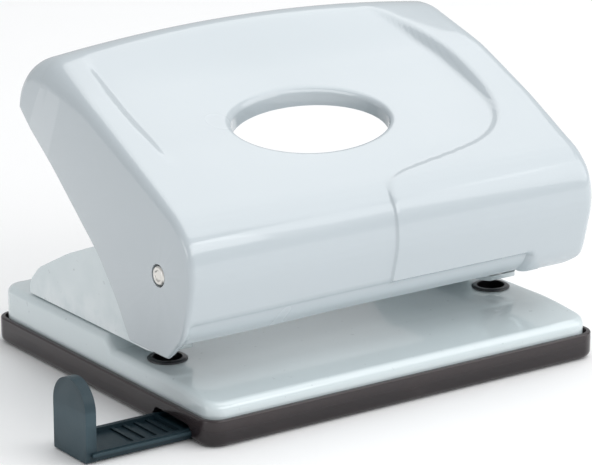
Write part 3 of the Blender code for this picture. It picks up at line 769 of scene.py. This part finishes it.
def corner_cutter():
    """A body that rounds off the lower corner of the cover's right end, seen from the front."""
    x, z, radius = 43.6, 23.9, 5.5
    round_end = [
        (x + radius * math.sin(angle), z - radius * math.cos(angle))
        for angle in np.linspace(0, math.pi / 2, 17)
    ]
    outline = [(52, 10), (52, z)] + round_end[::-1] + [(38, z - radius), (38, 10)]
    return loft("corner", [[(x * MM, y, z * MM) for x, z in outline] for y in (-40 * MM, -5 * MM)])


def cover_hollow():
    """The room inside the cover, less the oval's collar and two ribbed screw bosses."""
    half = HANDLE_HALF - HANDLE_WALL
    skin = CoverSurface(divided(mm_outline(COVER_HOLLOW, math.radians(12)), 3 * MM), half, relief=False)
    stations = cover_stations(half, (0, 0.2, 0.6, 1.2, 2.2, 3.4, 5), 3 * MM)
    hollow = cover_body("hollow", skin, stations)
    combine(hollow, oval_block("collar", 1.7 * MM, 47.6 * MM, 64 * MM))
    ceiling = 66 * MM
    for sign in SIDES.values():
        x, y = sign * PUNCH_X, SCREW_Y
        drill(hollow, (x, y), 3 * MM, 50.6 * MM, ceiling, 48)
        for along, across in ((5.2 * MM, 0.45 * MM), (0.45 * MM, 6 * MM)):
            low, high = (x - along, y - across, 52.0 * MM), (x + along, y + across, ceiling)
            combine(hollow, block("rib", low, high))
    return hollow


def build_cover(material):
    fine = (0, 0.04, 0.12, 0.25, 0.42, 0.65, 0.95, 1.3, 1.7, 2.2, 2.8, 3.5, 4.3, 5.2)
    at_front_step = [x * MM for x in (-0.7, -0.8, -0.9, -1.0, -1.1, -1.25, -1.4, -1.8)]
    stations = sorted(cover_stations(HANDLE_HALF, fine, 0.8 * MM) + at_front_step)
    outline = divided(mm_outline(COVER_OUTLINE, math.radians(7)), 0.8 * MM)
    cover = cover_body("cover_shell", CoverSurface(outline, HANDLE_HALF), stations, well=True)
    combine(cover, cover_hollow())
    combine(cover, corner_cutter())
    for sign in SIDES.values():
        drill(cover, (sign * PUNCH_X, SCREW_Y), 1.3 * MM, 40 * MM, 54.2 * MM, 32)
    reach, radius = 60 * MM, 2.25 * MM
    pin_hole = turned("pin_hole", (PIVOT_Y, PIVOT_Z), ((-reach, radius), (reach, radius)), "x", 64)
    combine(cover, pin_hole)
    return dressed(cover, material, "handle", ["handle_cover"], 42)


# -------- base plate


def bed_height(y):
    """The base's upper side: a bed that falls away to the front, the paper stop and the platform."""
    fall = 1.5 * MM * np.clip((-24 * MM - y) / (15 * MM), 0, 1) ** 1.6
    rise = (PLATFORM_TOP - BED_TOP) * smooth_step(y, -4.4 * MM, -0.9 * MM)
    return BED_TOP - fall + rise


def pan_rows(half_depth, corner):
    """Row places from front to back: fine in the corner arcs and at the paper stop."""
    arc = [half_depth - corner * (1 - math.cos(a)) for a in np.linspace(0, math.pi / 2, 9)]
    inner = half_depth - corner
    body = [y for y in np.arange(-inner, inner, 1.1 * MM)[1:] if not -5.2 * MM < y < -0.3 * MM]
    stop = list(np.arange(-4.8 * MM, -0.5 * MM, 0.22 * MM))
    return np.array(sorted({round(y, 7) for y in [-v for v in arc] + body + stop + arc}))


def pan(half_width, half_depth, corner, edge, drop, bottom):
    """An open pan's skin: a grid inside, rings over its rounded edge, and a skirt down to bottom."""
    across = 36
    core = np.array([half_width - corner, half_depth - corner])
    rows = pan_rows(half_depth, corner)
    over = np.maximum(0.0, abs(rows) - core[1])
    outline = core[0] + np.sqrt(np.maximum(0.0, corner**2 - over**2))
    count = len(rows)
    loop = [(0, k) for k in range(across)] + [(j, across) for j in range(count - 1)]
    loop += [(count - 1, k) for k in range(across, 0, -1)]
    loop += [(j, 0) for j in range(count - 1, 0, -1)]
    rim = np.array([(outline[j] * (2 * k / across - 1), rows[j]) for j, k in loop])
    inward = np.clip(rim, -core, core) - rim
    inward /= np.maximum(np.linalg.norm(inward, axis=1), 1e-9)[:, None]

    # The grid ends where the rounded edge begins, so its corner arcs are smaller by that much.
    vertices, faces = [], []
    shrink = (corner - edge) / corner
    width = across + 1
    for j, row in enumerate(rows):
        y = math.copysign(abs(row) - over[j] * (1 - shrink), row)
        half_row = core[0] + (outline[j] - core[0]) * shrink
        z = float(bed_height(y)) - drop
        vertices.extend((half_row * (2 * k / across - 1), y, z) for k in range(width))
    for j in range(count - 1):
        for k in range(across):
            first = j * width + k
            faces.append((first, first + 1, first + width + 1, first + width))

    previous = [j * width + k for j, k in loop]
    for turn in EDGE_TURNS:
        fall = edge * (1 - math.cos(turn))
        ring = rim + inward * edge * (1 - math.sin(turn))
        ring = [(x, y, float(bed_height(y)) - drop - fall) for x, y in ring]
        previous = add_ring(vertices, faces, previous, ring)
    tops = [float(bed_height(y)) - drop - edge for _, y in rim]
    for share in (0.35, 0.7, 1.0):
        ring = [(x, y, top + (bottom - top) * share) for (x, y), top in zip(rim, tops)]
        previous = add_ring(vertices, faces, previous, ring)
    return vertices, faces, previous


def build_base(material):
    half_width, half_depth = BASE_HIGH.x, BASE_HIGH.y
    bottom = BASE_LOW.z
    outer = pan(half_width, half_depth, 3.8 * MM, 1.5 * MM, 0.0, bottom)
    inner = pan(half_width - SHEET, half_depth - SHEET, 2.6 * MM, 0.8 * MM, SHEET, bottom)
    shift = len(outer[0])
    faces = outer[1] + [tuple(k + shift for k in face) for face in inner[1]]
    faces += stitched(outer[2], [k + shift for k in inner[2]])
    base = new_object("base_pan", outer[0] + inner[0], faces)
    reach = (GUIDE_HIGH.y - GUIDE_LOW.y) / 2 + 2 * MM
    low = (-half_width - MM, GUIDE_Y - reach, -MM)
    high = (-half_width + 2 * SHEET, GUIDE_Y + reach, 3.9 * MM)
    combine(base, block("notch", low, high))
    for x in (sign * PUNCH_X for sign in SIDES.values()):
        drill(base, (x, PUNCH_Y), DIE_HOLE, 5 * MM, 14 * MM, 64)
        for y in RIVET_Y.values():
            drill(base, (x, y), RIVET_HOLE, 5 * MM, 16 * MM, 32)
    return dressed(base, material, "base", ["base_plate"], 40)


# -------- tray and guide


def build_tray(material):
    width, depth = TRAY_HIGH.x - TRAY_LOW.x, TRAY_HIGH.y - TRAY_LOW.y
    rim = TRAY_HIGH.z
    foot, lip = 1.3 * MM, 0.35 * MM

    def outline_at(inset):
        corner = TRAY_CORNER - inset
        return rounded_rectangle(width - 2 * inset, depth - 2 * inset, corner, math.radians(6))

    side = [
        (foot * (1 - math.cos(a)), foot * (1 - math.sin(a)))
        for a in np.radians([90, 75, 60, 45, 30, 15, 0])
    ]
    side.append((0.0, rim * 0.6))
    side += [
        (lip * (1 - math.cos(a)), rim - lip * (1 - math.sin(a)))
        for a in np.radians([0, 30, 60, 90])
    ]
    rings = [[(x, y, z) for x, y in outline_at(inset)] for inset, z in side]
    tray = loft("tray_shell", rings)
    combine(tray, prism_z("hollow", outline_at(TRAY_WALL), TRAY_FLOOR, rim + MM))
    housing = [(-7.8, 0.6), (7.8, 0.6), (7.8, 3.0), (7.2, 3.6), (-7.2, 3.6), (-7.8, 3.0)]
    housing = [(y * MM + GUIDE_Y, z * MM) for y, z in housing]
    combine(tray, prism_x("housing", housing, TRAY_LOW.x + TRAY_WALL / 2, 40 * MM), "UNION")
    groove = [
        (-6.1, -1.0), (6.1, -1.0), (6.1, 0.95), (6.8, 0.95), (6.8, 2.15), (6.1, 2.15), (6.1, 2.5),
        (-6.1, 2.5), (-6.1, 2.15), (-6.8, 2.15), (-6.8, 0.95), (-6.1, 0.95),
    ]
    groove = [(y * MM + GUIDE_Y, z * MM) for y, z in groove]
    combine(tray, prism_x("groove", groove, -60 * MM, 39 * MM))
    mouth = mm_outline([(-6.9, -1.0, 0), (6.9, -1.0, 0), (6.4, 3.4, 1.6), (-6.4, 3.0, 1.6)])
    combine(tray, prism_x("mouth", mouth + (GUIDE_Y, 0), -60 * MM, -45.4 * MM))
    return dressed(tray, material, "tray", ["chip_tray"], 40)


def build_guide(material):
    low_x, high_x = GUIDE_LOW.x, GUIDE_HIGH.x
    thickness, top = 2.3 * MM, GUIDE_HIGH.z / MM
    half, tongue, rib_count = 5.8, 6.45, 4
    section = [
        (-half, 0.25), (half, 0.25), (half, 1.25), (tongue, 1.25), (tongue, 1.85), (half, 1.85),
        (half, 2.1), (half - 1, 2.1), (half - 1.1, 1.25), (1.1 - half, 1.25), (1 - half, 2.1),
        (-half, 2.1), (-half, 1.85), (-tongue, 1.85), (-tongue, 1.25), (-half, 1.25),
    ]
    section = [(y * MM + GUIDE_Y, z * MM) for y, z in section]
    guide = prism_x("guide_arm", section, low_x + thickness / 2, high_x)
    start = low_x + thickness
    for number in range(rib_count):
        x, reach = start + (9.4 + 2.6 * number) * MM, 5.0 * MM
        low, high = (x, GUIDE_Y - reach, MM), (x + 0.7 * MM, GUIDE_Y + reach, 1.62 * MM)
        combine(guide, block("rib", low, high), "UNION")
    reach = 5.2 * MM
    low, high = (-48.6 * MM, GUIDE_Y - reach, MM), (-47.7 * MM, GUIDE_Y + reach, 2.05 * MM)
    combine(guide, block("bar", low, high), "UNION")
    bend = half - 0.02
    outline = mm_outline(
        [(-half, 0.05, 0.3), (half, 0.05, 0.3), (half, top, bend), (-half, top, bend)], math.radians(6)
    )
    outline = divided(outline, 2 * MM)
    stop = prism_x("stop", outline + (GUIDE_Y, 0), low_x, low_x + thickness)
    combine(guide, stop, "UNION")
    bevelled(guide, 0.28 * MM, 3, 38)
    return dressed(guide, material, "guide", ["paper_guide"], 50)


# -------- brackets, levers and small parts

BRACKET_OUTLINE = [
    (-18.6, 0.0, 0.3), (-19.0, 6.0, 5), (-29.7, 14.8, 4), (-29.7, 22.4, 4), (-18.0, 22.4, 8),
    (3.0, 16.6, 40), (14.0, 12.2, 30), (25.6, 6.4, 10), (29.4, 2.6, 4), (29.6, 0.0, 0.3),
]


def build_bracket(side, sign, material):
    half, sheet = 5 * MM, MM
    inside = half - sheet
    x, floor = sign * PUNCH_X, BRACKET_FLOOR
    front, rear, over = -40 * MM, 40 * MM, 45 * MM
    outline = [(y, z + floor / MM, radius) for y, z, radius in BRACKET_OUTLINE]
    outline = mm_outline(outline, math.radians(5))
    bracket = prism_x("bracket_" + side + "_channel", outline, x - half, x + half)

    nose = mm_outline([(-5, -5, 4.9), (5, -5, 4.9), (5, 60, 0), (-5, 60, 0)], math.radians(5))
    trim = prism_z("nose", nose + (x, PUNCH_Y), floor - MM, floor + 7 * MM)
    upper = block("upper", (x - half - MM, front, floor + 6.9 * MM), (x + half + MM, rear, over))
    combine(trim, upper, "UNION")
    combine(bracket, trim, "INTERSECT")

    # The channel is open above and below a short web that guides the punch.
    web_low, web_high = 31.2 * MM, 32.2 * MM
    for low, high in ((floor + sheet, web_low), (web_high, 50 * MM)):
        combine(bracket, block("slot", (x - inside, front, low), (x + inside, rear, high)))
    for start, end in ((front, PUNCH_Y - 5 * MM), (PUNCH_Y + 5 * MM, rear)):
        low, high = (x - inside, start, web_low - MM), (x + inside, end, web_high + MM)
        combine(bracket, block("gap", low, high))
    drill(bracket, (x, PUNCH_Y), PUNCH_RADIUS + 0.12 * MM, 5 * MM, over, 64)
    reach, radius = 9 * MM, 2.0 * MM
    pin_hole = ((x - reach, radius), (x + reach, radius))
    combine(bracket, turned("pin_hole", (PIVOT_Y, PIVOT_Z), pin_hole, "x"))
    for y in RIVET_Y.values():
        drill(bracket, (x, y), RIVET_HOLE, 5 * MM, 16 * MM, 32)
    bevelled(bracket, 0.2 * MM, 2, 50)
    return dressed(bracket, material, "base", ["bracket_" + side], 40)


def polish_node(name, material):
    """A CAD node whose shape stays, with its finished material."""
    node = frame["nodes"][name]
    shaded(node, 30)
    node.data.materials.clear()
    node.data.materials.append(material)


def turned_node(name, node, profile, edge, axis="z"):
    """A turned body in a node's place, and where its axis runs."""
    middle = centre_of(node)
    centre = (middle.x, middle.y) if axis == "z" else (PIVOT_Y, PIVOT_Z)
    return turned(name, centre, rounded_edges(profile, edge), axis, 56), centre


def build_pin(side, sign, material):
    node = "pivot_pin_" + side
    low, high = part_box(node)
    outer, inner = (low.x, high.x) if sign < 0 else (high.x, low.x)
    radius = (high.z - low.z) / 2
    neck = radius - 0.5 * MM
    toward = -sign * MM
    dimple, groove = outer + toward * 0.25, sign * (PUNCH_X - 8.2 * MM)
    profile = (
        (dimple, ON_AXIS), (dimple, radius * 0.50), (outer, radius * 0.58), (outer, radius * 0.86),
        (outer + toward * 0.3, radius), (groove, radius), (groove, neck),
        (groove + toward * 0.8, neck), (groove + toward * 0.8, radius),
        (inner - toward * 0.3, radius), (inner, radius * 0.8), (inner, ON_AXIS),
    )
    pin, _ = turned_node(node + "_ground", node, profile, 0.12 * MM, "x")
    return dressed(pin, material, "base", [node], 30)


def build_die(side, material):
    node = "die_" + side
    low, high = heights_of(node)
    flange, face = high - 0.8 * MM, high - 0.4 * MM
    profile = (
        (low, ON_AXIS), (low, 3.55 * MM), (low + 0.2 * MM, 3.7 * MM), (flange, 3.8 * MM),
        (flange, 4.0 * MM), (high - 0.65 * MM, 4.0 * MM), (face, 3.6 * MM), (face, ON_AXIS),
    )
    die, centre = turned_node(node + "_ring", node, profile, 0.15 * MM)
    radius = 2.88 * MM
    bore = ((0, radius), (high - 0.5 * MM, radius), (high + MM, 4.0 * MM))
    combine(die, turned("bore", centre, bore))
    return dressed(die, material, "base", [node], 30)


def build_rivet(side, label, material):
    node = f"rivet_{side}_{label}"
    low, high = heights_of(node)
    web, under = BRACKET_FLOOR + 1.25 * MM, PLATFORM_TOP - SHEET - 0.2 * MM
    shank = 1.35 * MM
    profile = (
        (low, ON_AXIS), (low, 1.2 * MM), (under - 0.5 * MM, 2.3 * MM), (under, 2.4 * MM),
        (under, shank), (web, shank), (web, 2.5 * MM), (web + 0.45 * MM, 2.35 * MM),
        (high, 1.1 * MM), (high, ON_AXIS),
    )
    rivet, _ = turned_node(node + "_head", node, profile, 0.3 * MM)
    return dressed(rivet, material, "base", [node], 30)


def build_punch(side, material):
    node = "punch_" + side
    low, high = heights_of(node)
    clip_low, clip_high = heights_of("punch_clip_" + side)
    clip_low, clip_high = clip_low - 0.15 * MM, clip_high + 0.15 * MM
    neck, hollow = PUNCH_RADIUS - 0.5 * MM, low + 0.9 * MM
    profile = (
        (hollow, ON_AXIS), (hollow, 0.3 * MM), (low, PUNCH_RADIUS - 0.06 * MM),
        (low + 0.1 * MM, PUNCH_RADIUS), (clip_low, PUNCH_RADIUS), (clip_low, neck),
        (clip_high, neck), (clip_high, PUNCH_RADIUS), (high - 1.1 * MM, PUNCH_RADIUS),
        (high - 0.4 * MM, 1.7 * MM), (high, 0.7 * MM), (high, ON_AXIS),
    )
    punch, _ = turned_node(node + "_ground", node, profile, 0.1 * MM)
    return dressed(punch, material, node, [node], 30)


def build_washer(side, material):
    node = "spring_washer_" + side
    low, high = heights_of(node)
    radius, bore = 3.8 * MM, 2.9 * MM
    profile = ((low, ON_AXIS), (low, radius), (high, radius), (high, ON_AXIS))
    washer, centre = turned_node(node + "_disc", node, profile, 0.12 * MM)
    combine(washer, turned("bore", centre, ((low - MM, bore), (high + MM, bore))))
    return dressed(washer, material, "punch_" + side, [node], 30)


def build_clip(node, centre, axis, bore, material, body):
    """An E-clip: a spring steel ring with a gap and three inner lugs."""
    low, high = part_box(node)
    levels = (low.z, high.z) if axis == "z" else (low.x, high.x)
    radius = (high.y - low.y) / 2
    gap, lug_height = math.radians(36), 0.55 * MM
    angles = np.linspace(gap, 2 * math.pi - gap, 61)
    outer = [(radius * math.cos(a), radius * math.sin(a)) for a in angles]
    inner = []
    for a in angles[::-1]:
        lug = max(0.0, math.cos(3 * (a - math.pi))) ** 4
        distance = bore + lug_height * (1 - lug)
        inner.append((distance * math.cos(a), distance * math.sin(a)))
    outline = [(centre[0] + u, centre[1] + v) for u, v in outer + inner]
    clip = (prism_z if axis == "z" else prism_x)(node + "_ring", outline, *levels)
    bevelled(clip, 0.1 * MM, 2, 50)
    return dressed(clip, material, body, [node], 40)


def build_spring(side, sign, material):
    """The return spring: a coil with closed ends."""
    node = "spring_" + side
    low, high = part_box(node)
    wire = 0.38 * MM
    mean = (high.x - low.x) / 2 - wire
    turns, closed, sides, steps_per_turn = 7.5, 0.9, 14, 40
    bottom, top = low.z + wire, high.z - wire
    x, y = sign * PUNCH_X, PUNCH_Y
    rings = []
    for step in range(int(turns * steps_per_turn) + 1):
        turn = step / steps_per_turn
        rise = np.clip((turn - closed) / (turns - 2 * closed), 0, 1)
        flat = 2 * wire * (min(turn, closed) + max(0.0, turn - turns + closed))
        height = bottom + flat + (top - bottom - 4 * wire * closed) * rise
        cosine, sine = math.cos(2 * math.pi * turn), math.sin(2 * math.pi * turn)
        ring = [(mean + u, height + v) for u, v in circle((0, 0), wire, sides)]
        rings.append([(x + reach * cosine, y + reach * sine, z) for reach, z in ring])
    spring = loft(node + "_coil", rings)
    dressed(spring, material, "base", [node], 70)
    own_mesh(spring)
    return spring


def build_screw(side, material):
    node = "cover_screw_" + side
    low, high = heights_of(node)
    shoulder, pitch = low + 1.6 * MM, 0.8 * MM
    profile = [
        (low, ON_AXIS), (low, 1.7 * MM), (low + 0.5 * MM, 2.45 * MM),
        (shoulder - 0.1 * MM, 2.7 * MM), (shoulder, 2.6 * MM), (shoulder, 1.0 * MM),
    ]
    for number in range(int((high - shoulder - 1.2 * MM) / pitch)):
        at = shoulder + 0.3 * MM + number * pitch
        profile += [(at, 0.95 * MM), (at + pitch / 2, 1.2 * MM)]
    profile += [(high - 0.6 * MM, 0.9 * MM), (high, 0.2 * MM), (high, ON_AXIS)]
    screw, (x, y) = turned_node(node + "_threaded", node, profile, 0.1 * MM)
    top = low + 0.9 * MM
    for along, across in ((1.5 * MM, 0.28 * MM), (0.28 * MM, 1.5 * MM)):
        slot = block("slot", (x - along, y - across, low - MM), (x + along, y + across, top))
        combine(screw, slot)
    return dressed(screw, material, "handle", [node], 30)


# -------- stage

FLOOR_HALF = 3.0
FLOOR_DROP = 0.2 * MM
WORLD_COLOUR = (0.97, 0.985, 1.0, 1)
WORLD_STRENGTH = 0.55
LIGHT_TARGET = (0, 0, 0.03)
# Name, place, size and power of each softbox
SOFTBOXES = [
    ("overhead_softbox", (0.40, 0.0, 1.1), (1.3, 1.0), 6.6),
    ("right_softbox", (0.95, -0.65, 0.55), (0.7, 0.8), 3.2),
    ("left_softbox", (-1.2, 0.05, 0.22), (0.6, 0.3), 1.3),
    ("front_softbox", (0.15, -1.05, 0.72), (1.2, 0.5), 4.6),
]
CAMERA_AZIMUTH = math.radians(-35.06)
CAMERA_ELEVATION = math.radians(16.66)
CAMERA_DISTANCE = 614.15 * MM
CAMERA_TARGET = Vector((0.616 * MM, 0, 24.45 * MM))
LENS = 183.3
SENSOR_WIDTH = 36


def build_stage(material):
    h = FLOOR_HALF
    corners = [(-h, -h, 0), (h, -h, 0), (h, h, 0), (-h, h, 0)]
    floor = new_object("floor", corners, [(0, 1, 2, 3)])
    floor.location.z = -FLOOR_DROP
    floor.data.materials.append(material)


def add_light(name, place, size, power):
    light = bpy.data.lights.new(name, "AREA")
    light.shape = "RECTANGLE"
    light.size, light.size_y = size
    light.energy = power
    obj = bpy.data.objects.new(name, light)
    obj.location = place
    back = Vector(place) - Vector(LIGHT_TARGET)
    obj.rotation_euler = back.to_track_quat("Z", "Y").to_euler()
    bpy.context.scene.collection.objects.link(obj)


def build_lights():
    world = bpy.data.worlds.new("studio")
    world.use_nodes = True
    background = world.node_tree.nodes["Background"]
    background.inputs["Color"].default_value = WORLD_COLOUR
    background.inputs["Strength"].default_value = WORLD_STRENGTH
    bpy.context.scene.world = world
    for softbox in SOFTBOXES:
        add_light(*softbox)


def build_camera():
    level = math.cos(CAMERA_ELEVATION)
    back = Vector(
        (
            math.sin(CAMERA_AZIMUTH) * level,
            -math.cos(CAMERA_AZIMUTH) * level,
            math.sin(CAMERA_ELEVATION),
        )
    )
    camera = bpy.data.cameras.new("camera")
    camera.lens = LENS
    camera.sensor_width = SENSOR_WIDTH
    obj = bpy.data.objects.new("camera", camera)
    obj.location = CAMERA_TARGET + back * CAMERA_DISTANCE
    obj.rotation_euler = back.to_track_quat("Z", "Y").to_euler()
    bpy.context.scene.collection.objects.link(obj)
    bpy.context.scene.camera = obj


def main():
    paint, sheet, zinc, pin = enamel(), zinc_sheet(), bright_zinc(), pin_steel()
    tool, wire, shade_steel = hardened_steel(), spring_steel(), steel_painted_as_shade()
    build_cover(glossy_cover())
    build_base(paint)
    build_tray(smoked_plastic())
    build_guide(guide_plastic())
    punch_neck, pin_neck = PUNCH_RADIUS - 0.38 * MM, 1.52 * MM
    for side, sign in SIDES.items():
        build_bracket(side, sign, paint)
        build_pin(side, sign, pin)
        build_die(side, shade_steel)
        build_punch(side, tool)
        build_washer(side, zinc)
        build_spring(side, sign, wire)
        build_screw(side, zinc)
        polish_node("lever_" + side, sheet)
        centre = (sign * PUNCH_X, PUNCH_Y)
        build_clip("punch_clip_" + side, centre, "z", punch_neck, zinc, "punch_" + side)
        build_clip("pin_clip_" + side, (PIVOT_Y, PIVOT_Z), "x", pin_neck, zinc, "base")
        for label in RIVET_Y:
            build_rivet(side, label, zinc)
    build_stage(floor_material())
    build_lights()
    build_camera()
    bpy.context.scene.view_settings.view_transform = "Standard"


main()
